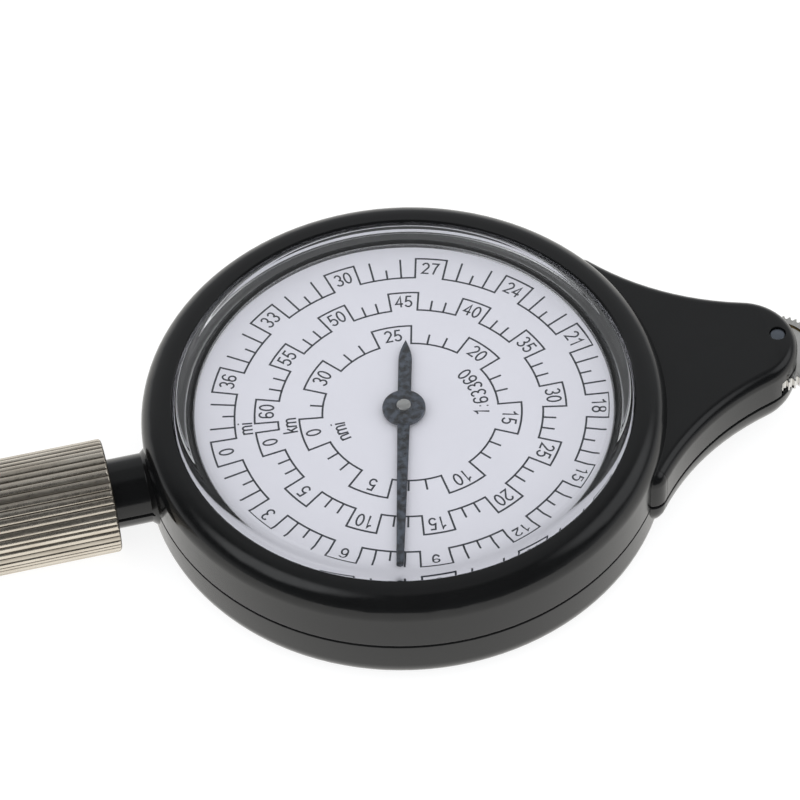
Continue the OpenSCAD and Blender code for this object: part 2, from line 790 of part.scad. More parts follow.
front_shell();
rear_shell();
lens();
dial_plate();
movement_plate();
plate_screws();
case_screws();
centre_bush();
pointer();
pointer_arbor();
centre_collet();
centre_gear();
second_arbor();
second_collet();
second_gear();
idler_arbor();
idler_collet();
idler_gear();
measuring_wheel();
wheel_bush();
wheel_axle();
handle_tube();
handle_end_cap();
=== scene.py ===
# %% [markdown]
# # A map measurer and its finishes
#
# The real object is a pocket instrument: a small toothed wheel rolls along a route on a map, a
# gear train slows it down forty times, and a thin hand shows the distance on a white dial with
# three scales. The shells are moulded black plastic, the window is a clear moulded cup, and the
# handle is a nickel-plated tube with straight ridges.
#
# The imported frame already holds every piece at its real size. The big moulded shapes and the
# gear train can stay as they are and only need a finish. The pieces whose charm is in their
# small roundings (handle, window, hand, wheel, pin) are modelled again here over the same
# places, because a few hundred extra faces cost little in a picture.

# %% Load the frame and keep its box
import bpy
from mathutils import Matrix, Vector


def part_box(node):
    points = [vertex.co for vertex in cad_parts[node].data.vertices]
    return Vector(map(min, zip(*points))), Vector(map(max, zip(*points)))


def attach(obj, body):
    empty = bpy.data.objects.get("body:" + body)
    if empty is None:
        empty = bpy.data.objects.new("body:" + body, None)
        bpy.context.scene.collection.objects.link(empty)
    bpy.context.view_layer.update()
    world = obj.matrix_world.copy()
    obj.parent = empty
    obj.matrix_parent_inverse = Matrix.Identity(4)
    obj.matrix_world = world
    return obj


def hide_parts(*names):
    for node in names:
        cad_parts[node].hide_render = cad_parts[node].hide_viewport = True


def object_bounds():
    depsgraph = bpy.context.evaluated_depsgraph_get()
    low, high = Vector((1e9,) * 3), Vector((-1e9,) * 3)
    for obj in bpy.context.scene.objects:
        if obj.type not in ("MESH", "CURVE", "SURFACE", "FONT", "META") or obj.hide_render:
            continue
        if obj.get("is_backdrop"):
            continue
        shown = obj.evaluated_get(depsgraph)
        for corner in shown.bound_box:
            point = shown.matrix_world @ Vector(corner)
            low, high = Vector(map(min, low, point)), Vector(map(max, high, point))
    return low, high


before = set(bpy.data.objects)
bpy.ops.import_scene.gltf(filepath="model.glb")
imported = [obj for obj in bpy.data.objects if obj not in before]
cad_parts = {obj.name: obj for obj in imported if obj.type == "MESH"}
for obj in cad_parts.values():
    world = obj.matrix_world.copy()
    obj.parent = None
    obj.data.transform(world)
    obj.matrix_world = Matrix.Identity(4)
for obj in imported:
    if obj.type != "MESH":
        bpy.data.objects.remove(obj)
cad_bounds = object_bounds()
print("pieces in the frame:", len(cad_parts))
print("size in mm:", [round(1000 * (b - a), 1) for a, b in zip(*cad_bounds)])

# %% The rest of the toolbox
import math

import bpy
import bmesh
from mathutils import Matrix, Vector

mm = 0.001
full_turn = 2 * math.pi
print("Blender", bpy.app.version_string)

# %% [markdown]
# Every size that the new pieces share with the frame is read from the frame's own boxes, so a
# piece that is modelled again sits exactly where the old one sat. The sizes are kept in
# millimetres, because that is how such an instrument is drawn.

# %% Heights and radii from the frame


def box_mm(name):
    low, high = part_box(name)
    return low / mm, high / mm


case_top = box_mm("front_shell")[1].z
dial_z = box_mm("dial_plate")[1].z
window_low, window_high = box_mm("lens")
window_r = window_high.x
hub_low, hub_high = box_mm("pointer")
arbor_low, arbor_high = box_mm("pointer_arbor")
wheel_low, wheel_high = box_mm("measuring_wheel")
wheel_centre = (wheel_low + wheel_high) / 2
pin_low, pin_high = box_mm("wheel_axle")
tube_low, tube_high = box_mm("handle_tube")
tube_z = (tube_low.z + tube_high.z) / 2
cap_low, cap_high = box_mm("handle_end_cap")
print("dial at", round(dial_z, 2), "mm, window top at", round(window_high.z, 2), "mm")
print("top of the ring at", round(case_top, 2), "mm")

# %% [markdown]
# ## Camera
#
# The picture is taken from above the lower edge, with the dial slightly turned. A camera could
# be placed by eye and nudged, but here its angles were worked out from the printed circles of
# the dial, so they can be written down: how far it looks down, how far it stands to the side,
# how much it is tilted, and which pixel the middle of the ring falls on. A long lens far away
# keeps the circles almost true ellipses.

# %% Place the camera
photo_px = 800
focal_px = 4000
look_down = math.radians(50.669)
stand_aside = math.radians(10.758)
tilt = math.radians(3.054)
px_per_mm = 11.755
anchor_px = (403.18, 393.88)
sensor_mm = 36


def camera_axes():
    right = Vector((math.cos(stand_aside), -math.sin(stand_aside), 0))
    ahead = Vector((math.sin(stand_aside), math.cos(stand_aside), 0))
    up = Vector((0, 0, 1))
    rise = ahead * math.sin(look_down) + up * math.cos(look_down)
    back = up * math.sin(look_down) - ahead * math.cos(look_down)
    x_axis = right * math.cos(tilt) - rise * math.sin(tilt)
    y_axis = right * math.sin(tilt) + rise * math.cos(tilt)
    return x_axis, y_axis, back


def place_camera():
    x_axis, y_axis, back = camera_axes()
    half = photo_px / 2
    right_px = anchor_px[0] - half
    up_px = half - anchor_px[1]
    ray = Vector((right_px / focal_px, up_px / focal_px, -1)).normalized()
    side = Vector((0, 1, 0)).cross(-ray).normalized()
    over = (-ray).cross(side)
    rows = [[side[i] * x_axis[j] + over[i] * y_axis[j] - ray[i] * back[j] for j in range(3)]
            for i in range(3)]
    to_camera = Matrix(rows)
    anchor = Vector((0, 0, case_top)) * mm
    shift = ray * (focal_px / px_per_mm * mm) - to_camera @ anchor
    from_camera = to_camera.transposed()
    lens = bpy.data.cameras.new("photo_camera")
    lens.sensor_width = sensor_mm
    lens.lens = sensor_mm * focal_px / photo_px
    lens.clip_start = 0.01
    lens.clip_end = 20
    camera = bpy.data.objects.new("photo_camera", lens)
    camera.matrix_world = Matrix.Translation(-(from_camera @ shift)) @ from_camera.to_4x4()
    bpy.context.scene.collection.objects.link(camera)
    bpy.context.scene.camera = camera
    return camera


camera = place_camera()
print("camera at", [round(c / mm) for c in camera.matrix_world.translation], "mm")

# %% [markdown]
# ## Finishes
#
# Each finish is a small network of nodes on the Principled shader. To keep the cells short, one
# helper adds a node and fills its sockets, and links a socket where the value is another
# node's output.

# %% A helper for nodes


def add_node(tree, kind, sockets=None, **settings):
    made = tree.nodes.new(kind)
    for name, value in settings.items():
        setattr(made, name, value)
    for name, value in (sockets or {}).items():
        socket = made.inputs[name]
        if isinstance(value, bpy.types.NodeSocket):
            tree.links.new(value, socket)
        else:
            socket.default_value = value
    return made


def new_finish(name):
    finish = bpy.data.materials.new(name)
    finish.use_nodes = True
    tree = finish.node_tree
    return finish, tree, tree.nodes["Principled BSDF"]


def place_of(tree):
    return add_node(tree, "ShaderNodeTexCoord").outputs["Object"]


def grain(tree, size_mm, detail=2.0, stretch=(1, 1, 1)):
    """Cloudy noise with features of about the given size."""
    scaled = add_node(tree, "ShaderNodeMapping", {"Vector": place_of(tree), "Scale": stretch})
    noise = add_node(tree, "ShaderNodeTexNoise", {
        "Vector": scaled.outputs["Vector"], "Scale": 1 / (size_mm * mm), "Detail": detail})
    return noise.outputs["Fac"]


def spread(tree, value, low, high, from_low=0.3, from_high=0.7):
    """Stretches a noise value to the range that a socket needs."""
    ranged = add_node(tree, "ShaderNodeMapRange", {
        "Value": value, "From Min": from_low, "From Max": from_high, "To Min": low, "To Max": high})
    return ranged.outputs["Result"]


def blend_colours(tree, share, first, second):
    mixed = add_node(tree, "ShaderNodeMix", data_type="RGBA")
    for index, value in ((0, share), (6, first), (7, second)):
        if isinstance(value, bpy.types.NodeSocket):
            tree.links.new(value, mixed.inputs[index])
        else:
            mixed.inputs[index].default_value = value
    return mixed.outputs[2]


def grey(value, warmth=0.0):
    return (value * (1 + warmth), value, value * (1 - warmth), 1)


print("helpers ready")

# %% [markdown]
# **Black moulded plastic.** The shells came out of a polished mould: dark, with a soft shine, a
# very fine unevenness that breaks the reflections up, rounded edges, and a little dust from the
# table. The unevenness is noise in the roughness and in a small bump. The edges get their light
# line from the Bevel node, which rounds the shading within a tenth of a millimetre.

# %% Black plastic


def dust_specks(tree, cell_mm, share):
    """Small dots, one in each of a few cells, where dust sits."""
    cells = add_node(tree, "ShaderNodeTexVoronoi", {
        "Vector": place_of(tree), "Scale": 1 / (cell_mm * mm)})
    chosen = add_node(tree, "ShaderNodeMath", {0: cells.outputs["Color"], 1: share},
                      operation="LESS_THAN")
    near = add_node(tree, "ShaderNodeMapRange", {
        "Value": cells.outputs["Distance"], "From Min": 0.05, "From Max": 0.13,
        "To Min": 1.0, "To Max": 0.0})
    return add_node(tree, "ShaderNodeMath", {0: chosen.outputs[0], 1: near.outputs["Result"]},
                    operation="MULTIPLY").outputs[0]


def black_plastic():
    finish, tree, surface = new_finish("black_plastic")
    cloud = grain(tree, 3.0, detail=3)
    base = blend_colours(tree, cloud, grey(0.0045, -0.05), grey(0.0075, -0.04))
    dusty = blend_colours(tree, dust_specks(tree, 0.9, 0.05), base, grey(0.12))
    tree.links.new(dusty, surface.inputs["Base Color"])
    tree.links.new(spread(tree, grain(tree, 0.7, detail=4), 0.11, 0.2), surface.inputs["Roughness"])
    surface.inputs["IOR"].default_value = 1.48
    rounded = add_node(tree, "ShaderNodeBevel", {"Radius": 0.09 * mm}, samples=6)
    ripple = add_node(tree, "ShaderNodeBump", {
        "Strength": 0.12, "Distance": 0.01 * mm, "Height": grain(tree, 0.12, detail=3),
        "Normal": rounded.outputs["Normal"]})
    tree.links.new(ripple.outputs["Normal"], surface.inputs["Normal"])
    return finish


black = black_plastic()
print("finish:", black.name)

# %% [markdown]
# **Clear window.** The window is a moulded cup of clear plastic. It bends the view of the dial
# under it, so it is real glass-like material with an index of 1.49, not a faint film. Light
# could only reach the dial through slow caustic paths, so for shadow rays and for light that
# bounces about, the window lets everything straight through with a slight tint.

# %% Clear plastic


def clear_plastic():
    finish, tree, surface = new_finish("clear_plastic")
    surface.inputs["Base Color"].default_value = (0.985, 0.992, 0.995, 1)
    surface.inputs["Transmission Weight"].default_value = 1
    surface.inputs["IOR"].default_value = 1.49
    tree.links.new(spread(tree, grain(tree, 6, detail=2), 0.0, 0.03), surface.inputs["Roughness"])
    path = add_node(tree, "ShaderNodeLightPath")
    loose = add_node(tree, "ShaderNodeMath", {
        0: path.outputs["Is Shadow Ray"], 1: path.outputs["Is Diffuse Ray"]}, operation="MAXIMUM")
    through = add_node(tree, "ShaderNodeBsdfTransparent", {"Color": (0.985, 0.988, 0.99, 1)})
    mixed = add_node(tree, "ShaderNodeMixShader", {
        0: loose.outputs[0], 1: surface.outputs["BSDF"], 2: through.outputs["BSDF"]})
    tree.links.new(mixed.outputs["Shader"], tree.nodes["Material Output"].inputs["Surface"])
    return finish


clear = clear_plastic()
print("finish:", clear.name)

# %% [markdown]
# ** Painted dial, ink and hand.** The dial is a stamped plate with a cool white satin lacquer,
# printed in a dark blue-grey. Its edge under the window's skirt is painted dark grey as painted
# shade, so the band seen there through the skirt is dark. The hand is thin steel with a blue-black
# coat whose colour is a little mottled. All three are quiet surfaces: a faint cloud in the colour,
# a second one in the roughness, and a fine bump.

# %% Painted surfaces


def beyond(tree, r_mm, soft_mm=0.04):
    """1 where a point is further than r_mm from the upright middle axis, else 0."""
    parts = add_node(tree, "ShaderNodeSeparateXYZ", {"Vector": place_of(tree)})
    flat = add_node(tree, "ShaderNodeCombineXYZ", {
        "X": parts.outputs["X"], "Y": parts.outputs["Y"]})
    out = add_node(tree, "ShaderNodeVectorMath", {0: flat.outputs["Vector"]}, operation="LENGTH")
    return spread(tree, out.outputs["Value"], 0, 1, (r_mm - soft_mm) * mm, (r_mm + soft_mm) * mm)


def painted(name, dark, light, cloud_mm, rough, bump, shaded_rim_r=None, soft=0.2):
    finish, tree, surface = new_finish(name)
    share = spread(tree, grain(tree, cloud_mm, detail=4), 0, 1, 0.5 - soft, 0.5 + soft)
    colour = blend_colours(tree, share, dark, light)
    if shaded_rim_r:
        # painted shade: dark grey on the plate past the given radius, under the window's skirt
        colour = blend_colours(tree, beyond(tree, shaded_rim_r), colour, grey(0.1))
    tree.links.new(colour, surface.inputs["Base Color"])
    tree.links.new(spread(tree, grain(tree, cloud_mm / 2), *rough), surface.inputs["Roughness"])
    skin = add_node(tree, "ShaderNodeBump", {
        "Strength": bump, "Distance": 0.01 * mm, "Height": grain(tree, 0.08, detail=3)})
    tree.links.new(skin.outputs["Normal"], surface.inputs["Normal"])
    return finish


# width of the painted-shade rim at the dial's edge
shaded_rim_w = 0.9
dial_paint = painted("dial_paint", (0.815, 0.8, 0.86, 1), (0.835, 0.82, 0.88, 1), 5,
                     (0.42, 0.5), 0.1, shaded_rim_r=window_r - shaded_rim_w)
dial_ink = painted("dial_ink", (0.014, 0.018, 0.028, 1), (0.024, 0.029, 0.042, 1), 0.8,
                   (0.4, 0.55), 0.2)
hand_paint = painted("hand_paint", (0.001, 0.0015, 0.003, 1), (0.06, 0.074, 0.1, 1), 0.5,
                     (0.28, 0.46), 0.5, soft=0.13)
print("finishes:", dial_paint.name, dial_ink.name, hand_paint.name)

# %% [markdown]
# **Metals.** The arbors and screws are turned steel, the plates and gears are brass, the wheel is
# bright plated steel, and the pin that it turns on is bare steel that air has dulled to a blue
# grey. A turned metal has fine marks and a colour that changes slowly where fingers and air have
# reached it.

# %% Bare metals


def metal(name, dark, light, rough, bump=0.2):
    finish, tree, surface = new_finish(name)
    surface.inputs["Metallic"].default_value = 1
    share = spread(tree, grain(tree, 2.5, detail=4), 0, 1)
    tree.links.new(blend_colours(tree, share, dark, light), surface.inputs["Base Color"])
    tree.links.new(spread(tree, grain(tree, 0.6, detail=4), *rough), surface.inputs["Roughness"])
    marks = add_node(tree, "ShaderNodeBump", {
        "Strength": bump, "Distance": 0.004 * mm, "Height": grain(tree, 0.05)})
    tree.links.new(marks.outputs["Normal"], surface.inputs["Normal"])
    return finish


turned_steel = metal("turned_steel", (0.52, 0.52, 0.5, 1), (0.64, 0.64, 0.62, 1),
                     (0.26, 0.38), bump=0.1)
bright_steel = metal("bright_steel", (0.66, 0.65, 0.62, 1), (0.8, 0.79, 0.77, 1), (0.14, 0.26))
dulled_steel = metal("dulled_steel", (0.17, 0.19, 0.22, 1), (0.25, 0.28, 0.32, 1), (0.3, 0.45))
yellow_brass = metal("yellow_brass", (0.6, 0.4, 0.15, 1), (0.76, 0.55, 0.24, 1), (0.22, 0.38))
print("steels:", turned_steel.name, bright_steel.name, dulled_steel.name)
print("and", yellow_brass.name)

# %% [markdown]
# ** Nickel plate on the handle.** The plate is warm and bright on the crests, with an uneven tone,
# and the grooves are rougher and painted a dark brown as painted shade. How deep a point lies in
# a groove is simply its distance from the tube's axis, so the colour follows that distance. That
# reads the same from every side, and stays on the part when it is turned.

# %% Nickel plate
tube_r = tube_z - tube_low.z
groove_depth = 0.22


def nickel_plate():
    finish, tree, surface = new_finish("nickel_plate")
    surface.inputs["Metallic"].default_value = 1
    parts = add_node(tree, "ShaderNodeSeparateXYZ", {"Vector": place_of(tree)})
    height = add_node(tree, "ShaderNodeMath", {0: parts.outputs["Z"], 1: tube_z * mm},
                      operation="SUBTRACT")
    flat = add_node(tree, "ShaderNodeCombineXYZ", {
        "Y": parts.outputs["Y"], "Z": height.outputs[0]})
    from_axis = add_node(tree, "ShaderNodeVectorMath", {0: flat.outputs["Vector"]},
                         operation="LENGTH")
    # 0 deep in a groove, 1 on a crest: the mask for the painted groove shade
    crest = add_node(tree, "ShaderNodeMapRange", {
        "Value": from_axis.outputs["Value"], "From Min": (tube_r - groove_depth) * mm,
        "From Max": (tube_r - 0.3 * groove_depth) * mm})
    cloud = spread(tree, grain(tree, 1.6, detail=5, stretch=(0.3, 1, 1)), 0, 1)
    crest_colour = blend_colours(tree, cloud, (0.64, 0.575, 0.485, 1), (0.84, 0.78, 0.68, 1))
    # painted shade: the grooves are painted a dark brown, the crests keep the nickel's colour
    colour = blend_colours(tree, crest.outputs["Result"], (0.075, 0.06, 0.045, 1), crest_colour)
    tree.links.new(colour, surface.inputs["Base Color"])
    wear = spread(tree, grain(tree, 0.5, detail=4), -0.06, 0.08)
    dull = add_node(tree, "ShaderNodeMapRange", {
        "Value": crest.outputs["Result"], "To Min": 0.5, "To Max": 0.26})
    rough = add_node(tree, "ShaderNodeMath", {0: dull.outputs["Result"], 1: wear})
    tree.links.new(rough.outputs[0], surface.inputs["Roughness"])
    pits = add_node(tree, "ShaderNodeBump", {
        "Strength": 0.3, "Distance": 0.01 * mm, "Height": grain(tree, 0.09, detail=4)})
    tree.links.new(pits.outputs["Normal"], surface.inputs["Normal"])
    return finish


nickel = nickel_plate()
print("finish:", nickel.name, "on a tube of radius", round(tube_r, 2), "mm")

# %% [markdown]
# ## Finishes on the kept pieces
#
# The shells, the dial plate and the inner movement keep their frame meshes. Giving them a finish
# means filling the material slot that each mesh already has.

# %% Dress the kept pieces
kept = {
    "front_shell": black,
    "rear_shell": black,
    "dial_plate": dial_paint,
    "movement_plate": yellow_brass,
    "centre_bush": yellow_brass,
    "centre_collet": yellow_brass,
    "centre_gear": yellow_brass,
    "second_collet": yellow_brass,
    "second_gear": yellow_brass,
    "idler_collet": yellow_brass,
    "idler_gear": yellow_brass,
    "wheel_bush": yellow_brass,
    "second_arbor": turned_steel,
    "idler_arbor": turned_steel,
    "plate_screws": turned_steel,
    "case_screws": turned_steel,
}
for name, finish in kept.items():
    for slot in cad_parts[name].material_slots:
        slot.material = finish
print("dressed", len(kept), "pieces of the frame")

# %% [markdown]
# **Soft roundings.** The frame's roundings are made of narrow flat bands, and glossy plastic
# shows every band as a stripe. The shells are not touched, but a modifier can be laid over them:
# it closes the mesh where faces only meet, shades it smooth, and keeps an edge sharp only where
# two faces meet at more than a given angle. A second modifier then lets the large flat faces
# decide the shading at their borders, so that they stay flat.

# %% Smooth the bands of the shells
band_angle = math.radians(25)


def smoothing_nodes():
    group = bpy.data.node_groups.new("smooth_bands", "GeometryNodeTree")
    group.interface.new_socket("Geometry", in_out="INPUT", socket_type="NodeSocketGeometry")
    group.interface.new_socket("Geometry", in_out="OUTPUT", socket_type="NodeSocketGeometry")
    start = add_node(group, "NodeGroupInput")
    merged = add_node(group, "GeometryNodeMergeByDistance", {
        "Geometry": start.outputs[0], "Distance": 0.0005 * mm})
    plain = add_node(group, "GeometryNodeRemoveAttribute", {
        "Geometry": merged.outputs[0], "Name": "custom_normal"})
    smooth = add_node(group, "GeometryNodeSetShadeSmooth", {
        "Geometry": plain.outputs[0], "Shade Smooth": True}, domain="FACE")
    angle = add_node(group, "GeometryNodeInputMeshEdgeAngle")
    steep = add_node(group, "FunctionNodeCompare", operation="GREATER_THAN", data_type="FLOAT")
    group.links.new(angle.outputs[0], steep.inputs[0])
    steep.inputs[1].default_value = band_angle
    flat = add_node(group, "FunctionNodeBooleanMath", {0: steep.outputs[0]}, operation="NOT")
    creased = add_node(group, "GeometryNodeSetShadeSmooth", {
        "Geometry": smooth.outputs[0], "Shade Smooth": flat.outputs[0]}, domain="EDGE")
    end = add_node(group, "NodeGroupOutput")
    group.links.new(creased.outputs[0], end.inputs[0])
    return group


bands = smoothing_nodes()
for name in ("front_shell", "rear_shell"):
    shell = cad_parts[name]
    shell.modifiers.new("smooth_bands", "NODES").node_group = bands
    level = shell.modifiers.new("flat_faces_lead", "WEIGHTED_NORMAL")
    level.keep_sharp = True
    print(name, "smoothed with", [modifier.name for modifier in shell.modifiers])

# %% [markdown]
# ## Making new pieces
#
# Most of what is modelled again is turned on a lathe, so the main helper spins a profile: a list
# of (radius, height) points. A point on the axis becomes one vertex, any other becomes a ring.
# A second helper wraps faces round rings that aren't round, such as ridges and teeth.
# All new pieces pass through one function, which scales millimetres to metres, turns all faces
# outward, shades the round faces smooth and keeps edges sharper than a given angle, puts the
# piece under the empty of the body that carries it, and hides the frame nodes that it stands for.

# %% Helpers for meshes


def make_piece(name, points, faces, finish, body, slot, stands_for=(), crease=32):
    mesh = bpy.data.meshes.new(name)
    mesh.from_pydata([Vector(p) * mm for p in points], [], faces)
    work = bmesh.new()
    work.from_mesh(mesh)
    bmesh.ops.recalc_face_normals(work, faces=work.faces)
    work.to_mesh(mesh)
    work.free()
    mesh.shade_smooth()
    mesh.set_sharp_from_angle(angle=math.radians(crease))
    piece = bpy.data.objects.new(name, mesh)
    bpy.context.scene.collection.objects.link(piece)
    mesh.materials.append(finish)
    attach(piece, body)
    if stands_for:
        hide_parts(*stands_for)
    print(name, "has", len(mesh.polygons), "faces")
    return piece


def arc(centre, r, start, end, steps=8):
    """Points of an arc, in degrees from the first axis."""
    angles = [math.radians(start + (end - start) * i / steps) for i in range(steps + 1)]
    return [(centre[0] + r * math.cos(a), centre[1] + r * math.sin(a)) for a in angles]


def lathe(profile, around=128, centre_x=0):
    """Spins (radius, height) points about an upright axis on the middle line."""
    points = []
    rings = []
    for r, h in profile:
        rings.append([])
        for i in range(around if r > 0 else 1):
            a = full_turn * i / around
            rings[-1].append(len(points))
            points.append((centre_x + r * math.cos(a), r * math.sin(a), h))
    faces = []
    for low, high in zip(rings, rings[1:]):
        for i in range(around):
            j = (i + 1) % around
            corners = [low[i % len(low)], low[j % len(low)],
                       high[j % len(high)], high[i % len(high)]]
            face = list(dict.fromkeys(corners))
            if len(face) > 2:
                faces.append(face)
    return points, faces


def wrap(rings):
    """Joins rings with equally many points, the last one to the first again."""
    count = len(rings[0])
    points = [point for ring in rings for point in ring]
    faces = []
    for s in range(len(rings)):
        t = (s + 1) % len(rings)
        for i in range(count):
            j = (i + 1) % count
            faces.append([s * count + i, s * count + j, t * count + j, t * count + i])
    return points, faces


def lay_back(points, start_x, axis_z):
    """Turns a piece spun about Z to lie along the handle, heights going backwards."""
    return [(start_x - z, y, axis_z + x) for x, y, z in points]


def join(*parts):
    """Puts several (points, faces) shapes in one mesh."""
    points = []
    faces = []
    for more_points, more_faces in parts:
        faces += [[len(points) + i for i in face] for face in more_faces]
        points += list(more_points)
    return points, faces


print("helpers ready")

# %% [markdown]
# ## The window
#
# The window is a flat disc with a rounded shoulder and a skirt that stands on the dial's rim. It
# could be a plain disc of glass, but the skirt is what makes the grey streaky band round the
# white dial, so the cup is turned in full, inside and out. The wide rounding inside its corner
# works like a strong lens: at the near edge it squeezes the outer scale together and mirrors it
# once more. The foot stops a hair above the dial: with no air between the two, the rim would
# look wet.

# %% Turn the window
window_t = 1.25
skirt_t = 0.95
shoulder = 0.7
inner_round = 1.5
foot_air = 0.015
foot_inner_edge = 0.04
foot_outer_edge = 0.06


def window_profile():
    top = window_high.z
    under = top - window_t
    inner_r = window_r - skirt_t
    foot = window_low.z + foot_air
    corner = arc((inner_r - inner_round, under - inner_round), inner_round, 90, 0, 18)
    sole = [(inner_r, foot + foot_inner_edge), (inner_r + foot_inner_edge, foot),
            (window_r - foot_outer_edge, foot), (window_r, foot + foot_outer_edge)]
    outside = arc((window_r - shoulder, top - shoulder), shoulder, 0, 90, 12)
    return [(0, under)] + corner + sole + outside + [(0, top)]


make_piece("window", *lathe(window_profile(), 256), clear, "case", "lens_clear", ("lens",), 60)

# %% [markdown]
# ## The printed dial
#
# The print is three scales. Each is one unbroken line that runs along a circle and steps out
# round each number, so that the number stands in a little box, with ticks between the boxes. A
# picture on the plate would be the usual way, but a drawn line stays sharp at any distance, so
# every line here is a thin ribbon of ink a hundredth of a millimetre high.
#
# All places on the print are angles: a number's share of the full turn, counted from the left.
# One turn of the hand is 39 miles, which are 62.76 kilometres or 33.89 sea miles, so the three
# scales start at the same place and end short of it by what is left over. A tick is written as
# its distance past the number before it, and its height as a share of the step to the box.

# %% Where the print lies
print_centre = Vector((0.546, -0.016))
print_turn = math.radians(181.396)
ink_w = 0.165
ink_h = 0.012
ink_root = 0.004
scales = [
    {"name": "miles", "units": 39, "step": 3, "last": 36, "half_box": 0.5, "base_r": 15.05,
     "box_r": 17.25, "ticks": ((1, 0.97), (1.5, 0.47), (2, 0.97))},
    {"name": "kilometres", "units": 62.76, "step": 5, "last": 60, "half_box": 1, "base_r": 11.34,
     "box_r": 13.33, "ticks": ((2, 0.57), (3, 0.57))},
    {"name": "sea_miles", "units": 33.89, "step": 5, "last": 30, "half_box": 1, "base_r": 7.53,
     "box_r": 9.52, "ticks": ((2, 0.56), (3, 0.56))},
]


def on_dial(r, angle):
    return print_centre + Vector((r * math.cos(angle), r * math.sin(angle)))


def scale_angle(scale, value):
    return print_turn + full_turn * value / scale["units"]


print("scales:", [s["name"] for s in scales])

# %% Ribbons of ink


def ribbon(line, width=ink_w, closed=False):
    """A flat strip of ink along a line of 2-D points, mitred at its corners."""
    count = len(line)
    left = []
    right = []
    for i, point in enumerate(line):
        before = line[i - 1] if closed or i else point
        after = line[(i + 1) % count] if closed or i < count - 1 else point
        into = (point - before).normalized() if before != point else (after - point).normalized()
        out = (after - point).normalized() if after != point else into
        mitre = (into + out).normalized()
        across = Vector((-mitre.y, mitre.x))
        reach = width / 2 / max(0.5, math.sqrt(max(0, (1 + into.dot(out)) / 2)))
        left.append(point + across * reach)
        right.append(point - across * reach)
    low = dial_z - ink_root
    high = dial_z + ink_h
    points = [(p.x, p.y, z) for row in (left, right) for z in (low, high) for p in row]
    rows = [list(range(k * count, (k + 1) * count)) for k in (0, 1, 3, 2)]
    faces = []
    for i in range(count if closed else count - 1):
        j = (i + 1) % count
        for first, second in zip(rows, rows[1:] + rows[:1]):
            faces.append([first[i], first[j], second[j], second[i]])
    if not closed:
        faces += [[row[0] for row in rows], [row[-1] for row in reversed(rows)]]
    return points, faces


def dial_arc(r, start, end, step=math.radians(1.5)):
    count = max(2, round(abs(end - start) / step))
    return [on_dial(r, start + (end - start) * i / count) for i in range(count + 1)]


print("ribbon of", ink_w, "mm ready")

# %% Draw the scales


def scale_line(scale):
    line = []
    values = list(range(0, scale["last"] + 1, scale["step"]))
    half = scale["half_box"]
    for i, value in enumerate(values):
        following = values[i + 1] if i < len(values) - 1 else scale["units"]
        start = scale_angle(scale, value - half)
        end = scale_angle(scale, value + half)
        line += dial_arc(scale["box_r"], start, end)
        line += dial_arc(scale["base_r"], end, scale_angle(scale, following - half))
    return line


def scale_ticks(scale):
    strips = []
    height = scale["box_r"] - scale["base_r"]
    for value in range(0, scale["last"] + 1, scale["step"]):
        for offset, share in scale["ticks"]:
            if value + offset < scale["units"] - scale["half_box"]:
                a = scale_angle(scale, value + offset)
                strips.append(ribbon([on_dial(scale["base_r"], a),
                                      on_dial(scale["base_r"] + share * height, a)]))
    return strips


print("outer line has", len(scale_line(scales[0])), "points")

# %% [markdown]
# **The numbers.** Scale figures of this kind are plain, narrow and even in width. A font could
# be turned into a mesh, but its figures would have strokes of their own width, so the ten figures
# are drawn here as pen strokes in a cell one unit high: straight lines and parts of ellipses. The
# same pen draws the three short unit signs and the plain map ratio that fill the quiet places of
# the dial.

# %% Pen strokes of the figures
cap_height = 1.35
advance = 0.6
pen_w = 0.155
sign_middle = 0.28


def bow(cx, cy, rx, ry, start, end):
    """Part of an ellipse, in degrees."""
    steps = max(6, round(abs(end - start) / 15))
    angles = [math.radians(start + (end - start) * i / steps) for i in range(steps + 1)]
    return [(cx + rx * math.cos(a), cy + ry * math.sin(a)) for a in angles]


def turned_over(stroke):
    return [(2 * sign_middle - x, 1 - y) for x, y in stroke]


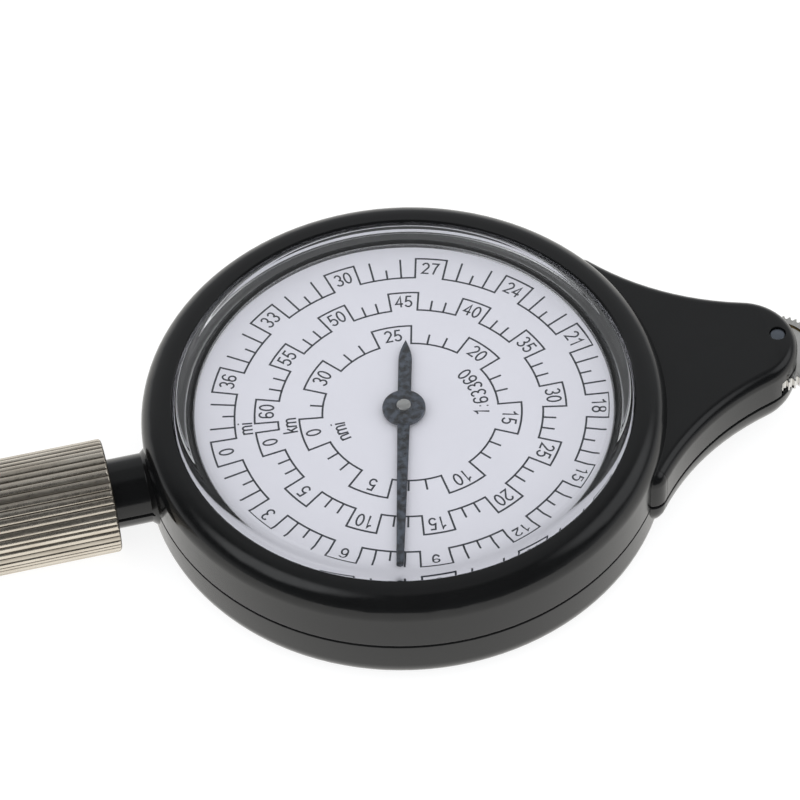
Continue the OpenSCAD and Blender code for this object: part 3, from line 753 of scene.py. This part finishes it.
six = [bow(0.28, 0.29, 0.2, 0.23, 0, 360), bow(0.3, 0.66, 0.21, 0.28, 25, 180) + [(0.085, 0.35)]]
pen = {
    "0": [bow(0.28, 0.5, 0.205, 0.44, 0, 360)],
    "1": [[(0.1, 0.74), (0.24, 0.8), (0.33, 0.96), (0.33, 0.02)]],
    "2": [bow(0.28, 0.7, 0.2, 0.24, 165, -35) + [(0.07, 0.08), (0.5, 0.08)]],
    "3": [bow(0.27, 0.71, 0.18, 0.23, 155, -90), bow(0.27, 0.27, 0.21, 0.23, 90, -160)],
    "4": [[(0.38, 0.02), (0.38, 0.92), (0.06, 0.3), (0.52, 0.3)]],
    "5": [[(0.47, 0.92), (0.16, 0.92), (0.11, 0.5)] + bow(0.27, 0.31, 0.21, 0.25, 125, -155)],
    "6": six,
    "7": [[(0.06, 0.92), (0.5, 0.92), (0.34, 0.55), (0.22, 0.02)]],
    "8": [bow(0.28, 0.72, 0.175, 0.22, 0, 360), bow(0.28, 0.275, 0.21, 0.225, 0, 360)],
    "9": [turned_over(stroke) for stroke in six],
    ":": [[(0.24, 0.12), (0.32, 0.12)], [(0.24, 0.58), (0.32, 0.58)]],
    "i": [[(0.28, 0.02), (0.28, 0.66)], [(0.28, 0.86), (0.28, 0.95)]],
    "k": [[(0.12, 0.02), (0.12, 0.96)], [(0.44, 0.66), (0.13, 0.3)], [(0.25, 0.42), (0.47, 0.02)]],
    "m": [[(0.04, 0.02), (0.04, 0.66)], bow(0.2, 0.46, 0.15, 0.18, 160, 0) + [(0.35, 0.02)],
          bow(0.5, 0.46, 0.15, 0.18, 160, 0) + [(0.65, 0.02)]],
    "n": [[(0.1, 0.02), (0.1, 0.66)], bow(0.27, 0.46, 0.165, 0.18, 160, 0) + [(0.435, 0.02)]],
}
widths = {"m": 0.72, "i": 0.34, ":": 0.36, "k": 0.54, "n": 0.56}
middles = {"m": 0.345}


def sign_width(sign):
    return widths.get(sign, advance) * cap_height


print("signs drawn:", "".join(pen))

# %% Write along a circle


def write(words, r, angle, inward=False):
    """Writes centred on an angle: tops outward and clockwise, or tops inward and the other way."""
    flip = -1 if inward else 1
    strips = []
    pen_x = -sum(sign_width(sign) for sign in words) / 2
    for sign in words:
        a = angle - flip * (pen_x + sign_width(sign) / 2) / r
        middle = on_dial(r, a)
        middle_x = middles.get(sign, sign_middle)
        along = flip * cap_height * Vector((math.sin(a), -math.cos(a)))
        up = flip * cap_height * Vector((math.cos(a), math.sin(a)))
        for stroke in pen[sign]:
            line = [middle + along * (x - middle_x) + up * (y - 0.5) for x, y in stroke]
            ring = (line[0] - line[-1]).length < 1e-6
            strips.append(ribbon(line[:-1] if ring else line, pen_w, closed=ring))
        pen_x += sign_width(sign)
    return strips


print("the number 27 takes", len(write("27", 10, 0)), "ribbons")

# %% [markdown]
# Every scale becomes one piece: its line, its ticks and its numbers. The signs are written at a
# radius and an angle of their own, and the map ratio stands on the other side of the hub with its
# tops inward.

# %% Print the dial
unit_signs = (("mi", 14.2, 173), ("km", 10.43, 174.5), ("nmi", 6.35, 186))
map_ratio = ("1:63360", 6.1, 6)


def print_scales():
    for scale in scales:
        strips = [ribbon(scale_line(scale), closed=True)] + scale_ticks(scale)
        figure_r = (scale["base_r"] + scale["box_r"]) / 2
        for value in range(0, scale["last"] + 1, scale["step"]):
            strips += write(str(value), figure_r, scale_angle(scale, value))
        make_piece("print_" + scale["name"], *join(*strips), dial_ink, "case", "pointer_dark")
    signs = [strip for words, r, degrees in unit_signs
             for strip in write(words, r, math.radians(degrees))]
    words, r, degrees = map_ratio
    signs += write(words, r, math.radians(degrees), inward=True)
    make_piece("print_signs", *join(*signs), dial_ink, "case", "pointer_dark")


print_scales()

# %% [markdown]
# ## The hand
#
# The hand is stamped from thin sheet: a long arm that narrows towards a blunt tip, a short arm
# with a pointed arch for an end, and a round hub riveted on. Stamping rounds the upper edges, so
# the hand is lofted from six-sided sections along its length, each as wide as the hand is there,
# with its upper corners cut.

# %% Shape the hand
hand_angle = math.radians(255.75)
hand_t = 0.25
hand_edge = 0.07
hand_len = 16.85
root_half = 0.56
tip_half = 0.3
tail_len = 7.5
tail_half = 0.58
swell_len = 3
arch_len = 2.1
blunt = 0.93
arch_steps = 14
tip_steps = 6


def hand_half_width(x):
    """Half the width at a distance from the hub, which is below zero on the tail."""
    if x > hand_len:
        return tip_half * math.sqrt(max(0.04, 1 - ((x - hand_len) / tip_half) ** 2))
    if x >= 0:
        return root_half + (tip_half - root_half) * x / hand_len
    swell = min(1, -x / swell_len)
    arch = min(1, max(0, (-x - (tail_len - arch_len)) / arch_len))
    return root_half + (tail_half - root_half) * swell - tail_half * blunt * arch ** 1.8


def loft_hand():
    stations = [-tail_len + arch_len * i / arch_steps for i in range(arch_steps + 1)]
    stations += [-5, -2.5, 0, 4, 8, 12, 16, hand_len]
    stations += [hand_len + tip_half * i / tip_steps for i in range(1, tip_steps + 1)]
    points = []
    for x in stations:
        w = hand_half_width(x)
        cut = min(hand_edge, w * 0.5)
        section = [(-w, 0), (w, 0), (w, hand_t - cut), (w - cut, hand_t), (cut - w, hand_t),
                   (-w, hand_t - cut)]
        for y, z in section:
            points.append((x * math.cos(hand_angle) - y * math.sin(hand_angle),
                           x * math.sin(hand_angle) + y * math.cos(hand_angle), hub_low.z + z))
    faces = [[6 * s + k, 6 * s + (k + 1) % 6, 6 * s + 6 + (k + 1) % 6, 6 * s + 6 + k]
             for s in range(len(stations) - 1) for k in range(6)]
    last = 6 * (len(stations) - 1)
    faces += [list(range(6)), list(range(last, last + 6))]
    return points, faces


print("the hand is", round(2 * hand_half_width(0), 2), "mm wide at the hub")

# %% Turn the hub and join it to the hand
hub_r = 1.85
hub_edge = 0.16
under_edge = 0.05
seat_r = 0.72
seat_edge = 0.04
seat_depth = 0.03
overlap = 0.001


def hub_shape():
    low = hub_low.z - overlap
    high = hub_high.z
    side = [(0, low), (hub_r - under_edge, low), (hub_r, low + under_edge),
            (hub_r, high - hub_edge)]
    rounding = arc((hub_r - hub_edge, high - hub_edge), hub_edge, 0, 90, 5)
    seat = [(seat_r, high), (seat_r - seat_edge, high - seat_depth), (0, high - seat_depth)]
    return lathe(side + rounding + seat, 96)


make_piece("hand", *join(loft_hand(), hub_shape()), hand_paint, "hand", "pointer_dark",
           ("pointer",), 28)

# %% Turn the hand's arbor
spindle_r = 0.62
spindle_len = 2.95
spindle_edge = 0.09
arbor_r = 0.7
pivot_r = 0.4
pivot_len = 0.8


def arbor_profile():
    low = arbor_low.z
    top = arbor_high.z
    foot = low + pivot_len
    step = top - spindle_len
    shaft = [(0, low), (pivot_r, low), (pivot_r, foot), (arbor_r, foot), (arbor_r, step),
             (spindle_r, step)]
    end = arc((spindle_r - spindle_edge, top - spindle_edge), spindle_edge, 0, 70, 4)
    return shaft + end + [(0, top)]


make_piece("hand_arbor", *lathe(arbor_profile(), 64), turned_steel, "hand", "steel",
           ("pointer_arbor",), 40)

# %% [markdown]
# ## The handle
#
# The handle is a tube with forty-eight straight ridges, rolled into the metal, and its ends are
# turned to a rounded shoulder that cuts the ridges off. Modelling each ridge and cutting it with
# a boolean would work, but the shape is simple enough to write down: at each place along the
# tube the radius is the smaller of the ridge and of the shoulder. Each ridge is half an ellipse
# across, so the grooves between them are sharp and dark.

# %% Roll the ridges
ridge_count = 48
ridge_steps = 10
tube_front = tube_high.x
tube_len = tube_high.x - tube_low.x
end_round = 0.45
end_flatness = 0.85
full_ridge = 0.78
fullness_change = 0.22
ridge_shift = 0.16
bore_r = 3.02
bore_edge = 0.15
deep_bore_r = 3.7
bore_step = 12


def ridge_radius(ridge, step):
    """A ridge is half an ellipse across; rolled ridges are not all equally full."""
    change = fullness_change * math.sin(2.4 * ridge) * math.sin(0.9 * ridge + 1)
    rise = (full_ridge + change) * math.sin(math.pi * step / ridge_steps)
    return tube_r - groove_depth + groove_depth * rise


def shoulder_radius(along):
    """The turned shoulder at a distance from the nearer end."""
    if along >= end_round:
        return math.inf
    drop = end_round - math.sqrt(end_round ** 2 - (end_round - along) ** 2)
    return tube_r - end_flatness * drop


def tube_ring(along, fixed_r=None):
    ring = []
    for i in range(ridge_count):
        for step in range(ridge_steps):
            across = (1 - math.cos(math.pi * step / ridge_steps)) / 2
            uneven = ridge_shift * math.sin(1.7 * i) * math.sin(math.pi * across)
            a = full_turn * (i + across - 0.5 + uneven) / ridge_count
            shoulder_r = shoulder_radius(min(along, tube_len - along))
            r = fixed_r or min(ridge_radius(i, step), shoulder_r)
            ring.append((r * math.cos(a), r * math.sin(a), along))
    return ring


def handle_tube():
    near = [end_round * (1 - math.cos(math.pi / 2 * i / 8)) for i in range(9)]
    outside = [tube_ring(s) for s in near] + [tube_ring(tube_len - s) for s in reversed(near)]
    inside = [tube_ring(tube_len, deep_bore_r), tube_ring(bore_step, deep_bore_r),
              tube_ring(bore_step, bore_r), tube_ring(bore_edge, bore_r)]
    return wrap([tube_ring(0, bore_r + bore_edge)] + outside + inside)


tube_points, tube_faces = handle_tube()
make_piece("handle", lay_back(tube_points, tube_front, tube_z), tube_faces, nickel, "case",
           "nickel", ("handle_tube",), 45)

# %% [markdown]
# ** End cap.** A turned plug closes the far end of the handle: a plain rounded head with one
# shallow ring cut near its edge, so the eye finds an end there. It wears the same plate as the
# tube. As all of it lies nearer the axis than the crests do, it takes the dark brown painted
# shade of the grooves all over.

# %% Turn the end cap
cap_end = tube_front - cap_low.x
cap_front = tube_front - cap_high.x
cap_r = cap_high.y
cap_round = 1.4
cap_edge = 0.1
cap_air = 0.01
plug_r = 3.68
ring_start = 0.32
ring_w = 0.24
ring_depth = 0.12
ring_slope = 0.06


def cap_profile():
    seat = tube_len + cap_air
    cut = seat + ring_start
    plug = [(0, cap_front), (plug_r, cap_front), (plug_r, seat), (cap_r - cap_edge, seat),
            (cap_r, seat + cap_edge)]
    ring = [(cap_r, cut), (cap_r - ring_depth, cut + ring_slope),
            (cap_r - ring_depth, cut + ring_w - ring_slope), (cap_r, cut + ring_w)]
    head = arc((cap_r - cap_round, cap_end - cap_round), cap_round, 0, 90, 10)
    return plug + ring + head + [(0, cap_end)]


cap_points, cap_faces = lathe(cap_profile())
# painted shade: inside the crest radius, the whole cap takes the grooves' painted dark brown
make_piece("end_cap", lay_back(cap_points, tube_front, tube_z), cap_faces, nickel, "case",
           "nickel", ("handle_end_cap",), 30)

# %% [markdown]
# ## The measuring wheel
#
# The wheel has forty-two small teeth with rounded tips, so that it grips paper without tearing
# it. Across its width the rim is slightly crowned, and both faces are dished. One outline goes
# round the teeth, and the same outline is drawn in towards each face to round the rim. Half a
# section is enough: the other half is the same one the other way up.

# %% Cut the wheel
wheel_teeth = 42
tooth_outline = ((-0.5, 0), (-0.36, 0.03), (-0.26, 0.3), (-0.18, 0.68), (-0.1, 0.93), (0, 1),
                 (0.1, 0.93), (0.18, 0.68), (0.26, 0.3), (0.36, 0.03))
wheel_r = (wheel_high.x - wheel_low.x) / 2
tooth_h = 0.36
rim_edge = 0.22
rim_in = 2.88
dish = 0.2
dish_slope = 0.12
bush_fit = 1.38
half_w = (wheel_high.z - wheel_low.z) / 2


def tooth_ring(h, drawn_in=0.0, fixed_r=None):
    ring = []
    for i in range(wheel_teeth):
        for share, lift in tooth_outline:
            a = full_turn * (i + 0.5 + share) / wheel_teeth
            r = fixed_r or wheel_r - tooth_h * (1 - lift) - drawn_in * (0.4 + 0.6 * lift)
            ring.append((wheel_centre.x + r * math.cos(a), r * math.sin(a), wheel_centre.z + h))
    return ring


def wheel_shape():
    half_section = [(half_w - dish, 0, bush_fit), (half_w - dish, 0, rim_in),
                    (half_w, 0, rim_in + dish_slope), (half_w, rim_edge, None),
                    (half_w - 0.06, 0.45 * rim_edge, None), (half_w - 0.18, 0.02, None)]
    lower = [tooth_ring(-h, drawn_in, r) for h, drawn_in, r in half_section]
    upper = [tooth_ring(h, drawn_in, r) for h, drawn_in, r in reversed(half_section)]
    return wrap(lower + upper)


make_piece("wheel", *wheel_shape(), bright_steel, "wheel", "wheel_steel", ("measuring_wheel",), 40)

# %% Turn the wheel's pin
pin_edge = 0.15
pin_round = 0.16


def pin_profile():
    r = pin_high.y
    low = pin_low.z
    top = pin_high.z
    side = [(0, low), (r - pin_edge, low), (r, low + pin_edge), (r, top - pin_round)]
    return side + arc((r - pin_round, top - pin_round), pin_round, 0, 80, 5) + [(0, top)]


make_piece("wheel_pin", *lathe(pin_profile(), 64, wheel_centre.x), dulled_steel, "case", "steel",
           ("wheel_axle",), 40)

# %% [markdown]
# ## Table and light
#
# The picture was taken in a white tent, so light comes evenly from all round and the table is
# white to its edges. A white world gives that light. To make the table white without lighting the
# object more, the floor adds its own whiteness only for the camera, for reflections and for
# looking through glass, and it stays an ordinary pale surface for the light that falls on the
# object. Enough of the plain surface is left in it for the object's soft shadow to show.

# %% Lay the white table
table_r = 1.6
table_sides = 64
table_gap = 0.02 * mm


def table_finish():
    finish, tree, surface = new_finish("white_table")
    surface.inputs["Roughness"].default_value = 0.9
    surface.inputs["Specular IOR Level"].default_value = 0.0
    tree.links.new(spread(tree, grain(tree, 40), 0.8, 0.82), surface.inputs["Base Color"])
    path = add_node(tree, "ShaderNodeLightPath")
    seen = add_node(tree, "ShaderNodeMath", {
        0: path.outputs["Is Camera Ray"], 1: path.outputs["Is Transmission Ray"]},
        operation="MAXIMUM")
    shade = add_node(tree, "ShaderNodeBsdfDiffuse", {"Color": (0.3, 0.3, 0.3, 1)})
    glow = add_node(tree, "ShaderNodeEmission", {"Color": (1, 1, 1, 1), "Strength": 0.84})
    both = add_node(tree, "ShaderNodeAddShader", {
        0: shade.outputs["BSDF"], 1: glow.outputs["Emission"]})
    mirrored = add_node(tree, "ShaderNodeEmission", {"Color": (1, 0.99, 0.965, 1), "Strength": 1.0})
    to_eye = add_node(tree, "ShaderNodeMixShader", {
        0: seen.outputs[0], 1: surface.outputs["BSDF"], 2: both.outputs["Shader"]})
    mixed = add_node(tree, "ShaderNodeMixShader", {
        0: path.outputs["Is Glossy Ray"], 1: to_eye.outputs["Shader"],
        2: mirrored.outputs["Emission"]})
    tree.links.new(mixed.outputs["Shader"], tree.nodes["Material Output"].inputs["Surface"])
    return finish


def lay_table():
    angles = [full_turn * i / table_sides for i in range(table_sides)]
    corners = [(table_r * math.cos(a), table_r * math.sin(a), 0) for a in angles]
    mesh = bpy.data.meshes.new("table")
    mesh.from_pydata(corners, [], [list(range(table_sides))])
    mesh.materials.append(table_finish())
    table = bpy.data.objects.new("table", mesh)
    table.location.z = cad_bounds[0].z - table_gap
    bpy.context.scene.collection.objects.link(table)
    table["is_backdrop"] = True
    return table


table = lay_table()
print("table under", round(table.location.z / mm, 3), "mm")

# %% [markdown]
# **The tent's walls.** Black gloss shows what stands round it, so the tent can't be one white.
# The walls are brightest low down and at the two sides, where the lamps shine through them, and
# the roof is dark round the camera. Each lamp is a soft bump in the brightness that a mirror
# sees in its direction. The light that falls on the object is kept apart from that: it comes
# from everywhere, and a little more from above.

# %% Light the tent
low_wall = 0.8
far_wall = 0.42
dark_roof = 0.05
lamps = (((-0.54, -0.04, 0.84), 0.955, 1.3), ((0.74, 0, 0.67), 0.95, 0.9),
         ((0.04, 0.2, 0.98), 0.96, 0.22))
upward = Vector((0, 0, 1))
near_side = Vector((-0.19, -0.98, 0))
light_level = 0.7
light_from_above = 0.42
light_from_near = 0.42


def toward(tree, direction, aim):
    """How much a direction points to an aim, from -1 to 1."""
    dot = add_node(tree, "ShaderNodeVectorMath", {0: direction, 1: Vector(aim).normalized()},
                   operation="DOT_PRODUCT")
    return dot.outputs["Value"]


def ramp(tree, value, from_low, from_high, low, high):
    soft = add_node(tree, "ShaderNodeMapRange", {
        "Value": value, "From Min": from_low, "From Max": from_high, "To Min": low,
        "To Max": high}, interpolation_type="SMOOTHSTEP")
    return soft.outputs["Result"]


def total(tree, first, second, operation="ADD"):
    """One sum, product or larger value of two brightnesses."""
    return add_node(tree, "ShaderNodeMath", {0: first, 1: second}, operation=operation).outputs[0]


def tent_brightness(tree):
    """What a mirror sees of the tent in each direction."""
    direction = add_node(tree, "ShaderNodeTexCoord").outputs["Generated"]
    height = toward(tree, direction, upward)
    sides = ramp(tree, toward(tree, direction, near_side), -0.2, 0.8, 1, 0.1)
    walls = total(tree, ramp(tree, height, 0.03, 0.4, low_wall, 0), sides, "MULTIPLY")
    far = total(tree, ramp(tree, toward(tree, direction, -near_side), 0.1, 0.75, 0, far_wall),
                ramp(tree, height, 0.97, 0.75, 0, 1), "MULTIPLY")
    bright = total(tree, total(tree, walls, far, "MAXIMUM"), dark_roof)
    for aim, edge, strength in lamps:
        glow = ramp(tree, toward(tree, direction, aim), edge - 0.05, edge + 0.03, 0, strength)
        bright = total(tree, bright, glow)
    return bright


def light_tent():
    world = bpy.data.worlds.new("white_tent")
    bpy.context.scene.world = world
    world.use_nodes = True
    tree = world.node_tree
    path = add_node(tree, "ShaderNodeLightPath")
    direction = add_node(tree, "ShaderNodeTexCoord").outputs["Generated"]
    mirrored = total(tree, path.outputs["Is Glossy Ray"], path.outputs["Is Transmission Ray"],
                     "MAXIMUM")
    above = total(tree, toward(tree, direction, upward), light_from_above, "MULTIPLY")
    near = total(tree, toward(tree, direction, near_side), light_from_near, "MULTIPLY")
    soft = total(tree, total(tree, above, near), light_level)
    strength = add_node(tree, "ShaderNodeMix", {0: mirrored, 2: soft, 3: tent_brightness(tree)},
                        data_type="FLOAT")
    tent = tree.nodes["Background"]
    tent.inputs["Color"].default_value = (0.965, 0.98, 1, 1)
    tree.links.new(strength.outputs[0], tent.inputs["Strength"])
    white = add_node(tree, "ShaderNodeBackground", {"Color": (1, 1, 1, 1), "Strength": 1.0})
    mixed = add_node(tree, "ShaderNodeMixShader", {
        0: path.outputs["Is Camera Ray"], 1: tent.outputs["Background"],
        2: white.outputs["Background"]})
    tree.links.new(mixed.outputs["Shader"], tree.nodes["World Output"].inputs["Surface"])
    return world


tent = light_tent()
print("tent lit, with", len(lamps), "lamps behind its walls")

# %% [markdown]
# ## Finish
#
# The colours should come out as they are written, so the view transform is Standard. The boxes
# of the frame and of the dressed object are written side by side: they have to agree, because
# dressing a part doesn't change its size.

# %% Write the sizes and finish
bpy.context.scene.view_settings.view_transform = "Standard"
new_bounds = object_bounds()
for label, low_high in (("frame", cad_bounds), ("dressed", new_bounds)):
    print(label, [[round(v / mm, 3) for v in corner] for corner in low_high])
